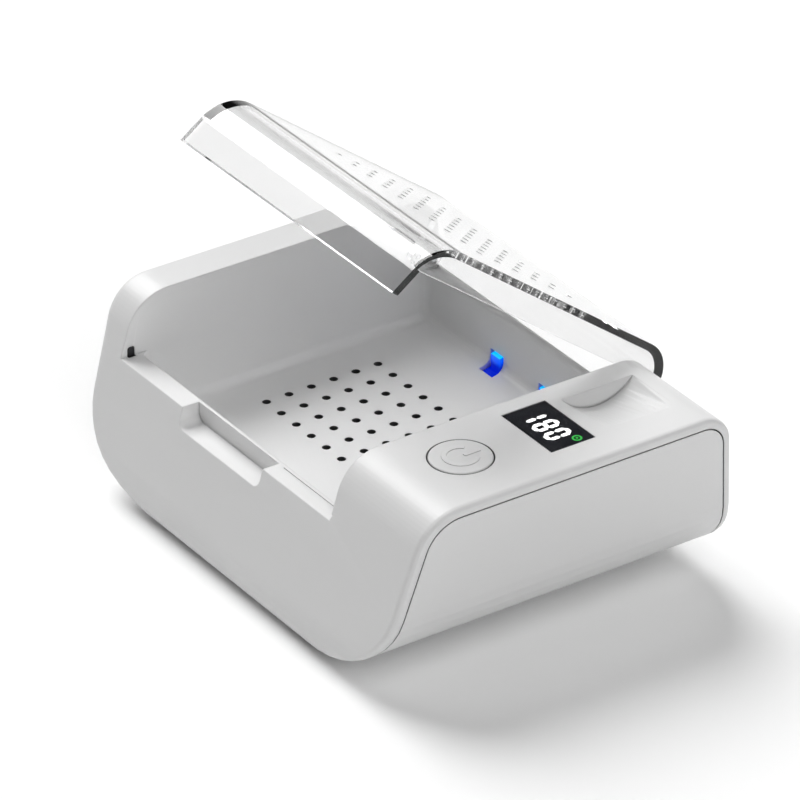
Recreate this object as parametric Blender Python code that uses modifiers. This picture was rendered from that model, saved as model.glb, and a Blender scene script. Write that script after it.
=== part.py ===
"""Drying box for small ear-worn devices: open chamber, vented floor, clear hinged lid and a control block.

Metres, +Z up. Shapes are drawn in a working frame whose zero is the left end, the front edge of the flat top
and the top plane. A parent empty moves that frame so the box stands on z = 0 and is centred in x and y.
"""

import math

import bmesh
import bpy
from mathutils import Matrix, Vector

# Overall shape
LENGTH = 0.124
HEIGHT = 0.0443
TOP_FRONT = 0.0008
TOP_REAR = 0.0638
FRONT_TOP_R = 0.0111
REAR_TOP_R = 0.0079
FRONT_SLOPE = math.radians(17.0)
REAR_SLOPE = math.radians(5.14)
FRONT_FOOT_W = 0.0060
FRONT_FOOT_H = 0.0106
REAR_FOOT_W = 0.0230
REAR_FOOT_H = 0.0090
END_FOOT_W = 0.0353
END_FOOT_H = 0.01965
END_DRAFT_SHARE = 0.087
RIM_R = 0.0014
OVERSHOOT = 0.0200
GAP = 0.0003
WALL = 0.0021

# Chamber and block
BLOCK_W = 0.0311
CHAMBER_LEFT = 0.00984
CHAMBER_RIGHT = LENGTH - BLOCK_W
CHAMBER_FRONT = -0.0068
CHAMBER_REAR = 0.0704
UNDER_ROOM = 0.0144
CHAMBER_FLOOR = -(HEIGHT - UNDER_ROOM)
CHAMBER_FILLET = 0.0023
TUB_WALL = 0.0018
TUB_FLOOR = 0.0016
LEDGE_TOP = -0.0144
LEDGE_THICK = 0.0018
REAR_WALL_TOP = -0.0160
REAR_ROUND = 0.0010
NOTCH_LEFT = 0.0352
NOTCH_RIGHT = 0.0670
NOTCH_FLOOR = -0.0190
NOTCH_REAR = -0.0076
NOTCH_R = 0.0020
NOTCH_PAD = 0.0016
LIP_LINE_Y = -0.00785
LIP_LINE_W = 0.0002
LATCH_Y = -0.0091
LATCH_Z = -0.0138
LATCH_W = 0.0019
LATCH_H = 0.0034
LATCH_DEPTH = 0.0012
DOT_Y = -0.0112
DOT_Z = -0.0133
DOT_R = 0.0004

# Vents
VENT_LEFT = 0.0214
VENT_FRONT = 0.01896
VENT_PITCH = 0.0060
VENT_R = 0.00102
VENTS_EACH_WAY = 6

# Light slots in the rear floor corner
SLOT_LEFT_X = 0.0350
SLOT_PITCH = 0.0187
SLOT_W = 0.0050
SLOT_TALL = 0.0036
SLOT_TOP = CHAMBER_FLOOR + SLOT_TALL
SLOT_FRONT = 0.0666
SLOT_SLANT = 0.0009
SLOT_DEEP_Y = 0.0722
GUIDE_FRONT = 0.0694
GUIDE_LEFT = 0.0013
GUIDE_FOOT = 0.0009

# Top of the block
BLOCK_SHIFT = 0.0019
BUTTON_X = (CHAMBER_RIGHT + LENGTH) / 2 - BLOCK_SHIFT
BUTTON_Y = 0.01245
BUTTON_HOLE_R = 0.00738
BUTTON_R = 0.00705
BUTTON_PROUD = 0.0002
BUTTON_EDGE_R = 0.0004
BUTTON_CAP = 0.0028
BUTTON_FLANGE_R = 0.0086
BUTTON_FLANGE = 0.0009
BUTTON_STEM_R = 0.0020
BUTTON_TRAVEL = 0.0005
SYMBOL_R = 0.0042
SYMBOL_W = 0.0011
SYMBOL_H = 0.00015
SYMBOL_OPEN = math.radians(42.0)
SYMBOL_BAR_LOW = 0.0008
SYMBOL_BAR_HIGH = 0.0050
LENS_W = 0.0187
LENS_LEFT = BUTTON_X - LENS_W / 2
LENS_RIGHT = BUTTON_X + LENS_W / 2
LENS_FRONT = 0.0294
LENS_REAR = 0.0409
LENS_THICK = 0.0011
LENS_GAP = 0.0002
LENS_LEDGE = 0.0009
SCOOP_W = 0.0155
SCOOP_SHIFT = 0.0002
SCOOP_LEFT = BUTTON_X + SCOOP_SHIFT - SCOOP_W / 2
SCOOP_RIGHT = SCOOP_LEFT + SCOOP_W
SCOOP_FRONT = 0.0439
SCOOP_REAR = 0.06285
SCOOP_DEPTH = 0.0044
SCOOP_PAD = 0.0018
SCOOP_LIFT = 0.0010
SCOOP_STEP = 0.0001
SCOOP_PAST_SHARE = 1.1
TOP_WALL = 0.0019

# Side panel
SEAM = 0.0021
PANEL_THICK = 0.0018
PANEL_SILL = 0.0038
PANEL_BOTTOM = -(HEIGHT - PANEL_SILL)
PANEL_LEDGE_W = 0.0016
PANEL_LEDGE_T = 0.0014
PANEL_FROM = 0.0700

# Underside
COVER_THICK = 0.0014
PART_LINE = -(HEIGHT - COVER_THICK)
BASE_WALL = 0.0031
CAVITY_BOTTOM = -(HEIGHT - BASE_WALL)
COVER_OPEN_IN = 0.0043
COVER_OPEN_LEFT = END_FOOT_W - COVER_OPEN_IN
COVER_OPEN_RIGHT = LENGTH - COVER_OPEN_LEFT
COVER_OPEN_FRONT = -0.0120
COVER_OPEN_REAR = 0.0560
COVER_SCREW_IN = 0.0033
COVER_BOSS_R = 0.0027
COVER_SCREW_R = 0.0011
COVER_HOLE_R = 0.0014
COVER_HEAD_R = 0.0023
COVER_SINK_R = 0.0027
COVER_SINK = 0.00075
COVER_SCREW_LONG = 0.0070
SCREW_SLOT_W = 0.0006
SCREW_SLOT_D = 0.0004
INTAKE_SLOTS = 6
INTAKE_W = 0.0016
INTAKE_LEFT = 0.0390
INTAKE_PITCH = 0.0036
INTAKE_FRONT = 0.0225
INTAKE_REAR = 0.0440
FOOT_IN_X = 0.0100
FOOT_IN_Y = 0.0040
FOOT_R = 0.0032
FOOT_SEAT = 0.0005
FOOT_PROUD = 0.0007

# Fan and heater under the vents
FAN_SIZE = 0.0300
FAN_DROP = 0.0027
FAN_TOP = CHAMBER_FLOOR - TUB_FLOOR - FAN_DROP
FAN_THICK = 0.0054
FAN_BORE_R = 0.0138
FAN_SCREW_SPREAD = 0.0120
FAN_BASE = 0.0010
FAN_BASE_R = 0.0070
FAN_STRUT_W = 0.0022
FAN_HOLE_R = 0.0013
ROTOR_HUB_R = 0.0062
ROTOR_TIP_R = 0.0132
ROTOR_BLADES = 7
ROTOR_BLADE_T = 0.0008
ROTOR_BLADE_H = 0.0034
ROTOR_BITE = 0.0012
ROTOR_PITCH = math.radians(38.0)
SPINDLE_R = 0.0008
FAN_BOSS_R = 0.0021
FAN_PILOT_R = 0.0008
FAN_SCREW_R = 0.0009
FAN_HEAD_R = 0.0016
FAN_HEAD_T = 0.0007
HEATER_W = 0.0170
HEATER_L = 0.0280
HEATER_T = 0.0012
HEATER_SLOTS = 4
HEATER_SLOT_W = 0.0018
HEATER_SLOT_L = 0.0220

# Boards
BOARD_SIDE = 0.0031
BOARD_LEFT = CHAMBER_RIGHT + TUB_WALL + BOARD_SIDE
BOARD_END = 0.0068
BOARD_RIGHT = LENGTH - BOARD_END
BOARD_FRONT = 0.0010
BOARD_REAR = 0.0668
BOARD_TOP = -0.0092
BOARD_T = 0.0012
BOARD_SCREW_IN_X = 0.0024
BOARD_SCREW_FRONT = 0.0262
BOARD_SCREW_REAR = 0.0600
BOARD_BOSS_R = 0.0020
BOARD_PILOT_R = 0.0008
BOARD_HOLE_R = 0.0012
BOARD_SCREW_R = 0.0009
BOARD_HEAD_R = 0.0015
BOARD_HEAD_T = 0.0009
BOARD_SCREW_LONG = 0.0032
SWITCH_W = 0.0060
SWITCH_H = 0.0030
SWITCH_TIP_R = 0.0016
SWITCH_TIP_H = 0.0008
MODULE_IN = 0.0014
CHIP_Y = 0.0480
CHIP_W = 0.0070
CHIP_T = 0.0010
PARTS_ROW = 3
PARTS_SIDE = 0.0045
PARTS_Y = 0.0330
PARTS_PITCH = 0.0035
PARTS_W = 0.0016
PARTS_L = 0.0026
PARTS_T = 0.0009
SOCKET_W = 0.0089
SOCKET_H = 0.0032
SOCKET_L = 0.0078
SOCKET_R = 0.0015
SOCKET_WALL = 0.0004
SOCKET_TONGUE_H = 0.0007
SOCKET_TONGUE_SHARE = 0.7
LAMP_BOARD_LEFT = 0.0335
LAMP_BOARD_RIGHT = 0.0606
LAMP_BOARD_FRONT = 0.0655
LAMP_BOARD_REAR = 0.0705
LAMP_BOARD_T = 0.0010
LAMP_W = 0.0028
LAMP_T = 0.0008

# Lid
LID_SIDE_GAP = 0.0005
LID_LEFT = CHAMBER_LEFT + LID_SIDE_GAP
LID_RIGHT = CHAMBER_RIGHT - LID_SIDE_GAP
LID_WALL = 0.0018
LID_LIP_BOTTOM = -0.0140
LID_SKIRT_BOTTOM = -0.0074
LID_REAR_BOTTOM = -0.0139
LID_SKIRT_REAR = 0.0660
LID_OPEN = math.radians(37.4)
HINGE_Y = 0.0700
HINGE_Z = -0.0130
EAR_R = 0.0027
EAR_THICK = 0.0022
PIN_R = 0.0009
PIN_IN_WALL = 0.0033
PIN_BOSS = 0.0044
PIN_BOSS_H = 0.0036
LID_VENTS_X = 10
LID_VENTS_Y = 6
LID_VENT_LEFT = (LID_LEFT + LID_RIGHT - VENT_PITCH * (LID_VENTS_X - 1)) / 2
LID_VENT_FRONT = 0.0181
LID_VENT_R = 0.0008

# Segment counts
ROUND = 40
SMALL_ROUND = 16
VENT_ROUND = 12
LID_VENT_ROUND = 8
FRONT_STEPS = 14
REAR_STEPS = 12
FOOT_STEPS = 12
CORNER_STEPS = 5
SCOOP_STEPS = 16

for old in list(bpy.data.objects):
    bpy.data.objects.remove(old, do_unlink=True)

scene = bpy.context.scene
parts = bpy.data.collections.new("hearing_aid_dryer_box")
scene.collection.children.link(parts)


def material(name, color, roughness, metallic=0.0, transmission=0.0):
    made = bpy.data.materials.new(name)
    made.use_nodes = True
    shader = made.node_tree.nodes["Principled BSDF"]
    shader.inputs["Base Color"].default_value = (*color, 1.0)
    shader.inputs["Roughness"].default_value = roughness
    shader.inputs["Metallic"].default_value = metallic
    shader.inputs["Transmission Weight"].default_value = transmission
    made.diffuse_color = (*color, 1.0)
    return made


def mesh_object(name, mesh):
    obj = bpy.data.objects.new(name, mesh)
    parts.objects.link(obj)
    return obj


def evaluated_mesh(obj):
    bpy.context.view_layer.update()
    graph = bpy.context.evaluated_depsgraph_get()
    return bpy.data.meshes.new_from_object(obj.evaluated_get(graph))


def apply_modifier(obj):
    """Swaps the object's mesh for the shape its modifiers make."""
    old = obj.data
    obj.data = evaluated_mesh(obj)
    obj.modifiers.clear()
    bpy.data.meshes.remove(old)
    return obj


def combine(obj, tool, operation):
    step = obj.modifiers.new("join", "BOOLEAN")
    step.operation = operation
    step.solver = "EXACT"
    step.object = tool
    apply_modifier(obj)
    used = tool.data
    bpy.data.objects.remove(tool, do_unlink=True)
    bpy.data.meshes.remove(used)
    return obj


def cut(obj, *tools):
    for tool in tools:
        combine(obj, tool, "DIFFERENCE")
    return obj


def join(obj, *tools):
    for tool in tools:
        combine(obj, tool, "UNION")
    return obj


def keep_inside(obj, *tools):
    for tool in tools:
        combine(obj, tool, "INTERSECT")
    return obj


def bevel(obj, width, segments, angle):
    step = obj.modifiers.new("round", "BEVEL")
    step.width = width
    step.segments = segments
    step.limit_method = "ANGLE"
    step.angle_limit = angle
    step.use_clamp_overlap = False
    return apply_modifier(obj)


def box(name, low, high):
    low, high = Vector(low), Vector(high)
    mesh = bpy.data.meshes.new(name)
    work = bmesh.new()
    middle = Matrix.Translation((low + high) / 2)
    bmesh.ops.create_cube(work, size=1.0, matrix=middle @ Matrix.Diagonal((*(high - low), 1.0)))
    work.to_mesh(mesh)
    work.free()
    return mesh_object(name, mesh)


AXIS_TURNS = {
    "X": Matrix(((0, 0, 1), (1, 0, 0), (0, 1, 0))).to_4x4(),
    "Y": Matrix(((1, 0, 0), (0, 0, -1), (0, 1, 0))).to_4x4(),
    "Z": Matrix.Identity(4),
}


def rods(name, centres, radius, length, axis="Z", segments=SMALL_ROUND, tip=None):
    """Round bars along an axis, each centred on its point; tip is the radius at the far end."""
    mesh = bpy.data.meshes.new(name)
    work = bmesh.new()
    for centre in centres:
        bmesh.ops.create_cone(
            work,
            cap_ends=True,
            segments=segments,
            radius1=radius,
            radius2=radius if tip is None else tip,
            depth=length,
            matrix=Matrix.Translation(centre) @ AXIS_TURNS[axis],
        )
    work.to_mesh(mesh)
    work.free()
    return mesh_object(name, mesh)


def rod(name, start, length, radius, segments=SMALL_ROUND, tip=None):
    """Upright round bar that starts at its lower point."""
    centre = Vector(start) + Vector((0, 0, length / 2))
    return rods(name, [centre], radius, length, "Z", segments, tip)


def prism(name, outline, axis, start, end):
    """Closed outline filled and extruded along an axis: (y, z) along X, (x, z) along Y, (x, y) along Z."""
    curve = bpy.data.curves.new(name, "CURVE")
    curve.dimensions = "2D"
    curve.fill_mode = "BOTH"
    curve.extrude = abs(end - start) / 2
    spline = curve.splines.new("POLY")
    spline.points.add(len(outline) - 1)
    for point, (u, v) in zip(spline.points, outline):
        point.co = (u, v, 0, 1)
    spline.use_cyclic_u = True
    source = bpy.data.objects.new(name, curve)
    parts.objects.link(source)
    mesh = evaluated_mesh(source)
    bpy.data.objects.remove(source, do_unlink=True)
    bpy.data.curves.remove(curve)
    work = bmesh.new()
    work.from_mesh(mesh)
    bmesh.ops.remove_doubles(work, verts=work.verts, dist=LENGTH / 1000000)
    middle = (start + end) / 2
    offsets = {"X": (middle, 0, 0), "Y": (0, middle, 0), "Z": (0, 0, middle)}
    bmesh.ops.transform(work, matrix=Matrix.Translation(offsets[axis]) @ AXIS_TURNS[axis], verts=work.verts)
    bmesh.ops.recalc_face_normals(work, faces=work.faces)
    work.to_mesh(mesh)
    work.free()
    return mesh_object(name, mesh)


def arc(centre, radius, start, end, steps):
    """Points on an arc, both ends included; angles in degrees."""
    points = []
    for i in range(steps + 1):
        angle = math.radians(start + (end - start) * i / steps)
        points.append((centre[0] + radius * math.cos(angle), centre[1] + radius * math.sin(angle)))
    return points


def rounded_rectangle(low, high, radius, steps=CORNER_STEPS):
    (x0, y0), (x1, y1) = low, high
    points = arc((x1 - radius, y0 + radius), radius, -90, 0, steps)
    points += arc((x1 - radius, y1 - radius), radius, 0, 90, steps)
    points += arc((x0 + radius, y1 - radius), radius, 90, 180, steps)
    points += arc((x0 + radius, y0 + radius), radius, 180, 270, steps)
    return points


def inset(outline, amount):
    """The outline, counterclockwise, with every side moved inwards by the amount."""
    moved = []
    count = len(outline)
    for i in range(count):
        before, here, after = (Vector(outline[(i + k) % count]) for k in (-1, 0, 1))
        first = (here - before).normalized()
        second = (after - here).normalized()
        normal = Vector((-first.y - second.y, first.x + second.x)).normalized()
        reach = amount / max(normal.dot(Vector((-first.y, first.x))), 0.5)
        moved.append(tuple(here + normal * reach))
    return moved


def foot_levels():
    """Heights above the flat bottom that the front, rear and end foot curves share, from the top down."""
    return [END_FOOT_H * (1 - math.sin(math.pi / 2 * i / FOOT_STEPS)) for i in range(FOOT_STEPS + 1)]


def foot_curve(line, width, height):
    """Down a wall, drawn as line(z), to the flat bottom; a quarter ellipse draws in its last height."""
    points = []
    for level in foot_levels():
        share = min(level / height, 1)
        z = level - HEIGHT
        points.append((line(z) + width * (1 - math.sqrt(share * (2 - share))), z))
    return points


def body_profile():
    """(y, z) outline of the box seen from its right end, counterclockwise from the flat bottom's front."""
    front_angle = math.degrees(FRONT_SLOPE)
    rear_angle = math.degrees(REAR_SLOPE)
    front = arc((TOP_FRONT, -FRONT_TOP_R), FRONT_TOP_R, 90, 180 - front_angle, FRONT_STEPS)
    rear = arc((TOP_REAR, -REAR_TOP_R), REAR_TOP_R, rear_angle, 90, REAR_STEPS)
    front_end, rear_end = front[-1], rear[0]

    def front_line(z):
        return front_end[0] - (front_end[1] - z) * math.tan(FRONT_SLOPE)

    def rear_line(z):
        return -(rear_end[0] + (rear_end[1] - z) * math.tan(REAR_SLOPE))

    front += foot_curve(front_line, FRONT_FOOT_W, FRONT_FOOT_H)
    low_rear = [(-y, z) for y, z in foot_curve(rear_line, REAR_FOOT_W, REAR_FOOT_H)]
    low_rear.reverse()
    return low_rear + rear + front


def end_profile():
    """(x, z) outline of the box seen from the front, counterclockwise, a little taller than the top plane."""
    left = [(-END_DRAFT_SHARE * OVERSHOOT, OVERSHOOT)]
    left += foot_curve(lambda z: -END_DRAFT_SHARE * z, END_FOOT_W, END_FOOT_H)
    right = [(LENGTH - x, z) for x, z in left]
    right.reverse()
    return left + right


PROFILE = body_profile()
ENDS = end_profile()
FRONT_MOST = min(y for y, z in PROFILE)
BODY_REAR = max(y for y, z in PROFILE)
ARC_SIDE = TOP_REAR - HINGE_Y
ARC_UP = -REAR_TOP_R - HINGE_Z
LID_REAR = HINGE_Y + ARC_SIDE * math.cos(LID_OPEN) + ARC_UP * math.sin(LID_OPEN) + REAR_TOP_R
FAR = LENGTH + OVERSHOOT
NEAR_Y = FRONT_MOST - OVERSHOOT
FAR_Y = BODY_REAR + OVERSHOOT


def body_blank(name):
    """Whole outside shape of the closed box, rim of both ends rounded."""
    blank = prism(name, PROFILE, "X", -OVERSHOOT, FAR)
    keep_inside(blank, prism("ends", ENDS, "Y", NEAR_Y, FAR_Y))
    return bevel(blank, RIM_R, 3, math.radians(50))


def shifted_ends(name, amount):
    """The end outline with the right end moved inwards along X."""
    outline = [(x - amount if x > LENGTH / 2 else x, z) for x, z in ENDS]
    return prism(name, outline, "Y", NEAR_Y, FAR_Y)


def seam_prism(name, amount, low, start=PANEL_FROM):
    """Inside of the right end's rim: the profile moved in, cut flat at its foot."""
    tube = prism(name, inset(PROFILE, amount), "X", start, FAR)
    return keep_inside(tube, box("above", (0, NEAR_Y, low), (FAR + OVERSHOOT, FAR_Y, OVERSHOOT)))


def fan_corners():
    middle_x = VENT_LEFT + VENT_PITCH * (VENTS_EACH_WAY - 1) / 2
    middle_y = VENT_FRONT + VENT_PITCH * (VENTS_EACH_WAY - 1) / 2
    spread = FAN_SCREW_SPREAD
    return [(middle_x + a * spread, middle_y + b * spread) for a in (-1, 1) for b in (-1, 1)]


FAN_X = VENT_LEFT + VENT_PITCH * (VENTS_EACH_WAY - 1) / 2
FAN_Y = VENT_FRONT + VENT_PITCH * (VENTS_EACH_WAY - 1) / 2
TUB_UNDER = CHAMBER_FLOOR - TUB_FLOOR
COVER_TOP = PART_LINE - GAP / 2
COVER_SCREWS = [
    (x, y)
    for x in (COVER_OPEN_LEFT + COVER_SCREW_IN, COVER_OPEN_RIGHT - COVER_SCREW_IN)
    for y in (COVER_OPEN_FRONT + COVER_SCREW_IN, COVER_OPEN_REAR - COVER_SCREW_IN)
]
BOARD_SCREWS = [
    (x, y)
    for x in (BOARD_LEFT + BOARD_SCREW_IN_X, BOARD_RIGHT - BOARD_SCREW_IN_X)
    for y in (BOARD_SCREW_FRONT, BOARD_SCREW_REAR)
]
SLOT_LEFTS = [SLOT_LEFT_X, SLOT_LEFT_X + SLOT_PITCH]


def hollow(name):
    """The room inside the shell: in its walls, in the block and under the floor, less every boss."""
    room = prism(name, inset(PROFILE, WALL), "X", -OVERSHOOT, FAR)
    outline = [(min(x + WALL, LENGTH / 2) if x < LENGTH / 2 else x, z) for x, z in ENDS]
    keep_inside(room, prism("left end", outline, "Y", NEAR_Y, FAR_Y))
    keep_inside(room, shifted_ends("right end", PANEL_THICK + GAP + PANEL_LEDGE_T))
    keep_inside(room, box("above", (0, NEAR_Y, CAVITY_BOTTOM), (FAR, FAR_Y, -TOP_WALL)))
    left = CHAMBER_LEFT - TUB_WALL
    right = CHAMBER_RIGHT + TUB_WALL
    front = CHAMBER_FRONT - TUB_WALL
    ledge = LEDGE_TOP - LEDGE_THICK
    pad = NOTCH_FLOOR - NOTCH_PAD
    tub = box("tub", (left, front, TUB_UNDER), (right, FAR_Y, OVERSHOOT))
    join(tub, box("ledge", (left, NEAR_Y, ledge), (right, CHAMBER_REAR, OVERSHOOT)))
    notch_low = (NOTCH_LEFT - NOTCH_PAD, NEAR_Y, pad)
    join(tub, box("notch pad", notch_low, (NOTCH_RIGHT + NOTCH_PAD, CHAMBER_REAR, OVERSHOOT)))
    boss_low = HINGE_Z - PIN_BOSS_H
    boss_high = HINGE_Z + PIN_BOSS_H
    boss_front = HINGE_Y - PIN_BOSS_H
    join(tub, box("hinge bosses", (CHAMBER_LEFT - PIN_BOSS, boss_front, boss_low),
                  (CHAMBER_RIGHT + PIN_BOSS, FAR_Y, boss_high)))
    join(tub, box("scoop pad", (SCOOP_LEFT - SCOOP_PAD, SCOOP_FRONT - SCOOP_PAD, -SCOOP_DEPTH - SCOOP_PAD),
                  (SCOOP_RIGHT, SCOOP_REAR + SCOOP_PAD, OVERSHOOT)))
    cover_boss = TUB_UNDER - COVER_TOP - GAP + TUB_FLOOR
    join(tub, *[rod("boss", (x, y, COVER_TOP + GAP), cover_boss, COVER_BOSS_R) for x, y in COVER_SCREWS])
    fan_boss = TUB_UNDER - FAN_TOP - GAP + TUB_FLOOR
    join(tub, *[rod("boss", (x, y, FAN_TOP + GAP), fan_boss, FAN_BOSS_R) for x, y in fan_corners()])
    board_boss = -BOARD_TOP - GAP
    join(tub, *[rod("boss", (x, y, BOARD_TOP + GAP), board_boss, BOARD_BOSS_R) for x, y in BOARD_SCREWS])
    return cut(room, tub)


def scoop_cutter():
    """Wedge under a circular segment, deepest at its left wall and running out at its right edge."""
    half = (SCOOP_REAR - SCOOP_FRONT) / 2
    middle = (SCOOP_REAR + SCOOP_FRONT) / 2
    radius = (half * half + SCOOP_DEPTH * SCOOP_DEPTH) / (2 * SCOOP_DEPTH)
    run = (SCOOP_RIGHT - SCOOP_LEFT) * SCOOP_PAST_SHARE
    work = bmesh.new()
    rings = []
    for x, share in ((SCOOP_LEFT, 1.0), (SCOOP_LEFT + run, 1.0 - SCOOP_PAST_SHARE)):
        ring = [work.verts.new((x, SCOOP_REAR, SCOOP_LIFT)), work.verts.new((x, SCOOP_FRONT, SCOOP_LIFT))]
        for i in range(SCOOP_STEPS + 1):
            y = -half + 2 * half * i / SCOOP_STEPS
            depth = math.sqrt(radius * radius - y * y) - (radius - SCOOP_DEPTH) + SCOOP_STEP
            ring.append(work.verts.new((x, middle + y, -depth * share)))
        rings.append(ring)
    work.faces.new(rings[0])
    work.faces.new(list(reversed(rings[1])))
    count = len(rings[0])
    for i in range(count):
        k = (i + 1) % count
        work.faces.new((rings[0][i], rings[0][k], rings[1][k], rings[1][i]))
    bmesh.ops.recalc_face_normals(work, faces=work.faces)
    mesh = bpy.data.meshes.new("scoop")
    work.to_mesh(mesh)
    work.free()
    return mesh_object("scoop", mesh)


def chamber_void():
    room = box("chamber", (CHAMBER_LEFT, CHAMBER_FRONT, CHAMBER_FLOOR),
               (CHAMBER_RIGHT, CHAMBER_REAR, OVERSHOOT))
    return bevel(room, CHAMBER_FILLET, CORNER_STEPS, math.radians(50))


def rear_opening():
    """Space above the rear wall, whose inner top edge is rounded."""
    corner = REAR_WALL_TOP - REAR_ROUND
    centre = (CHAMBER_REAR + REAR_ROUND, corner)
    outline = [(SLOT_FRONT, corner), (CHAMBER_REAR, corner)]
    outline += arc(centre, REAR_ROUND, 180, 90, CORNER_STEPS)[1:]
    outline += [(FAR_Y, REAR_WALL_TOP), (FAR_Y, OVERSHOOT), (SLOT_FRONT, OVERSHOOT)]
    return prism("rear opening", outline, "X", CHAMBER_LEFT, CHAMBER_RIGHT)


def notch_cutter():
    low = (NOTCH_LEFT, NOTCH_FLOOR)
    high = (NOTCH_RIGHT, OVERSHOOT)
    return prism("notch", rounded_rectangle(low, high, NOTCH_R), "Y", NEAR_Y, NOTCH_REAR)


def latch_cutter():
    low = (LATCH_Y - LATCH_W / 2, LATCH_Z - LATCH_H / 2)
    high = (LATCH_Y + LATCH_W / 2, LATCH_Z + LATCH_H / 2)
    outline = rounded_rectangle(low, high, LATCH_W / 3)
    return prism("latch", outline, "X", CHAMBER_LEFT - LATCH_DEPTH, CHAMBER_LEFT + LATCH_DEPTH / 2)


def vent_points():
    high = CHAMBER_FLOOR - TUB_FLOOR / 2
    steps = range(VENTS_EACH_WAY)
    return [(VENT_LEFT + VENT_PITCH * i, VENT_FRONT + VENT_PITCH * j, high) for i in steps for j in steps]


def socket_outline(grow):
    half = SOCKET_W / 2 + grow
    high = BOARD_TOP - BOARD_T - GAP + grow
    low = high - SOCKET_H - grow - grow
    return rounded_rectangle((BUTTON_X - half, low), (BUTTON_X + half, high), SOCKET_R + grow / 2)


def make_upper_housing():
    shell = body_blank("upper_housing")
    cut(shell, hollow("room"))
    rim_room = seam_prism("panel seat", SEAM, PANEL_BOTTOM)
    cut(rim_room, shifted_ends("behind", PANEL_THICK + GAP))
    cut(shell, rim_room)
    door = seam_prism("panel door", SEAM + PANEL_LEDGE_W, PANEL_BOTTOM + PANEL_LEDGE_W, CHAMBER_RIGHT)
    keep = shifted_ends("deep", PANEL_THICK + GAP + PANEL_LEDGE_T * 2)
    cut(shell, cut(door, keep))
    cut(shell, box("part line", (-OVERSHOOT, NEAR_Y, -HEIGHT - OVERSHOOT), (FAR, FAR_Y, PART_LINE)))
    cut(shell, box("cover opening", (COVER_OPEN_LEFT, COVER_OPEN_FRONT, PART_LINE - OVERSHOOT),
                   (COVER_OPEN_RIGHT, COVER_OPEN_REAR, CAVITY_BOTTOM + GAP)))
    cut(shell, chamber_void())
    cut(shell, box("opening", (CHAMBER_LEFT, NEAR_Y, LEDGE_TOP), (CHAMBER_RIGHT, FAR_Y, OVERSHOOT)))
    cut(shell, rear_opening(), notch_cutter(), latch_cutter())
    cut(shell, rods("dot", [(CHAMBER_RIGHT, DOT_Y, DOT_Z)], DOT_R, DOT_R * 2, "X"))
    line_low = (NOTCH_RIGHT + NOTCH_R, LIP_LINE_Y, LEDGE_TOP - LIP_LINE_W)
    line_high = (CHAMBER_RIGHT - LIP_LINE_W, LIP_LINE_Y + LIP_LINE_W, OVERSHOOT)
    cut(shell, box("lip line", line_low, line_high))
    cut(shell, rods("vents", vent_points(), VENT_R, TUB_FLOOR * 2, "Z", VENT_ROUND))
    for left in SLOT_LEFTS:
        cut(shell, prism("light slot", slot_outline(left, SLOT_FRONT, 0, 0), "Z", TUB_UNDER - GAP, SLOT_TOP))
    cut(shell, rod("button hole", (BUTTON_X, BUTTON_Y, -TOP_WALL * 2), TOP_WALL * 3, BUTTON_HOLE_R, ROUND))
    seat = -LENS_THICK - LENS_GAP
    cut(shell, box("lens seat", (LENS_LEFT, LENS_FRONT, seat), (LENS_RIGHT, LENS_REAR, OVERSHOOT)))
    cut(shell, box("lens window", (LENS_LEFT + LENS_LEDGE, LENS_FRONT + LENS_LEDGE, -TOP_WALL * 2),
                   (LENS_RIGHT - LENS_LEDGE, LENS_REAR - LENS_LEDGE, OVERSHOOT)))
    cut(shell, scoop_cutter())
    pins = [(CHAMBER_LEFT, HINGE_Y, HINGE_Z), (CHAMBER_RIGHT, HINGE_Y, HINGE_Z)]
    cut(shell, rods("pin holes", pins, PIN_R + GAP, (PIN_IN_WALL + GAP) * 2, "X"))
    holes = [(x, y, COVER_TOP + COVER_SCREW_LONG / 2) for x, y in COVER_SCREWS]
    cut(shell, rods("cover pilots", holes, COVER_SCREW_R + GAP, COVER_SCREW_LONG + GAP * 2))
    holes = [(x, y, FAN_TOP + GAP) for x, y in fan_corners()]
    cut(shell, rods("fan pilots", holes, FAN_PILOT_R + GAP, (TUB_UNDER - FAN_TOP) * 2))
    holes = [(x, y, BOARD_TOP) for x, y in BOARD_SCREWS]
    cut(shell, rods("board pilots", holes, BOARD_PILOT_R + GAP, BOARD_SCREW_LONG * 2))
    cut(shell, prism("socket hole", socket_outline(GAP), "Y", BOARD_REAR, FAR_Y))
    return shell


def make_side_panel():
    panel = body_blank("side_panel")
    keep_inside(panel, seam_prism("seam", SEAM + GAP, PANEL_BOTTOM + GAP))
    return cut(panel, shifted_ends("behind", PANEL_THICK))


def make_base_cover():
    cover = body_blank("base_cover")
    keep_inside(cover, box("slice", (-OVERSHOOT, NEAR_Y, -HEIGHT - OVERSHOOT), (FAR, FAR_Y, COVER_TOP)))
    holes = [(x, y, -HEIGHT) for x, y in COVER_SCREWS]
    cut(cover, rods("screw holes", holes, COVER_HOLE_R, OVERSHOOT))
    sinks = [(x, y, -HEIGHT) for x, y in COVER_SCREWS]
    cut(cover, rods("sinks", sinks, COVER_SINK_R, COVER_SINK * 2))
    for i in range(INTAKE_SLOTS):
        left = INTAKE_LEFT - INTAKE_PITCH / 2 + INTAKE_PITCH * i - INTAKE_W / 2
        low = (left, INTAKE_FRONT)
        high = (left + INTAKE_W, INTAKE_REAR)
        outline = rounded_rectangle(low, high, INTAKE_W / 2.1)
        cut(cover, prism("intake", outline, "Z", -HEIGHT - GAP, COVER_TOP + GAP))
    seats = [(x, y, -HEIGHT) for x, y in foot_points()]
    return cut(cover, rods("foot seats", seats, FOOT_R + GAP, FOOT_SEAT * 2))


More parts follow.
